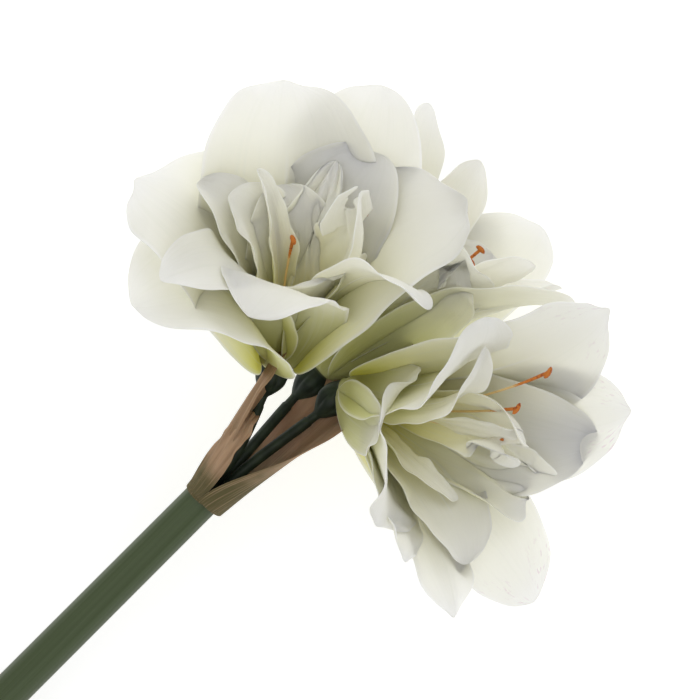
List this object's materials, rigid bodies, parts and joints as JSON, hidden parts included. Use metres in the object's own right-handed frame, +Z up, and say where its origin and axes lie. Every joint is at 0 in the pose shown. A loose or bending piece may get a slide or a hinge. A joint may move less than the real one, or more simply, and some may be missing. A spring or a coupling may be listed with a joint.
{
  "type": "amaryllis flower stem",
  "caption": "Cut amaryllis stem with white double flowers lying on its side: hollow green scape, papery spathe, ribbed stalks, layered petals and stamens.",
  "frame": {"origin": "centre of the bounding box, at the surface that the stem lies on", "axes": "+X along the scape from its cut end towards the flowers, +Z up from the surface that it lies on, +Y to the left of the scape seen from above with the flowers ahead"},
  "size_m": [0.4817, 0.2814, 0.1888],
  "materials": {
    "scape_skin": null,
    "stalk_green": null,
    "spathe_paper": null,
    "petal_white": null,
    "stamen_orange": null
  },
  "bodies": {
    "root": {"scape": "scape_skin", "upper_flower_stalk": "stalk_green", "upper_stamens": "stamen_orange", "upper_petal_left": "petal_white", "upper_petal_lower_left": "petal_white", "upper_petal_top": "petal_white", "upper_petal_back": "petal_white", "upper_petal_right": "petal_white", "upper_petal_front_right": "petal_white", "upper_petal_front": "petal_white", "upper_petal_front_left": "petal_white", "upper_petal_inner_left": "petal_white", "upper_petal_inner_top": "petal_white", "upper_petal_inner_front": "petal_white", "upper_petal_folded": "petal_white", "upper_petal_ribbon": "petal_white", "upper_petal_inner_back": "petal_white", "upper_petal_petaloid": "petal_white", "upper_petal_petaloid_back": "petal_white", "lower_flower_stalk": "stalk_green", "lower_stamens": "stamen_orange", "lower_petal_bottom_right": "petal_white", "lower_petal_right": "petal_white", "lower_petal_top_right": "petal_white", "lower_petal_top_left": "petal_white", "lower_petal_upper_left": "petal_white", "lower_petal_left": "petal_white", "lower_petal_lower_left": "petal_white", "lower_petal_bottom_left": "petal_white", "lower_petal_inner_right": "petal_white", "lower_petal_bottom": "petal_white", "lower_petal_inner_top": "petal_white", "lower_petal_petaloid": "petal_white", "lower_petal_rosette": "petal_white", "lower_petal_drop": "petal_white", "lower_petal_ribbon": "petal_white", "rear_flower_stalk": "stalk_green", "rear_stamens": "stamen_orange", "rear_petal_front_left": "petal_white", "rear_petal_front_right": "petal_white", "rear_petal_right": "petal_white", "rear_petal_under": "petal_white", "rear_petal_back": "petal_white", "rear_petal_top": "petal_white", "rear_petal_front": "petal_white", "rear_petal_curled": "petal_white", "rear_petal_inner_right": "petal_white", "rear_petal_inner_under": "petal_white", "rear_petal_inner_top": "petal_white", "spathe_back": "spathe_paper", "spathe_left": "spathe_paper", "spathe_bracteole": "spathe_paper"}
  },
  "joints": []
}
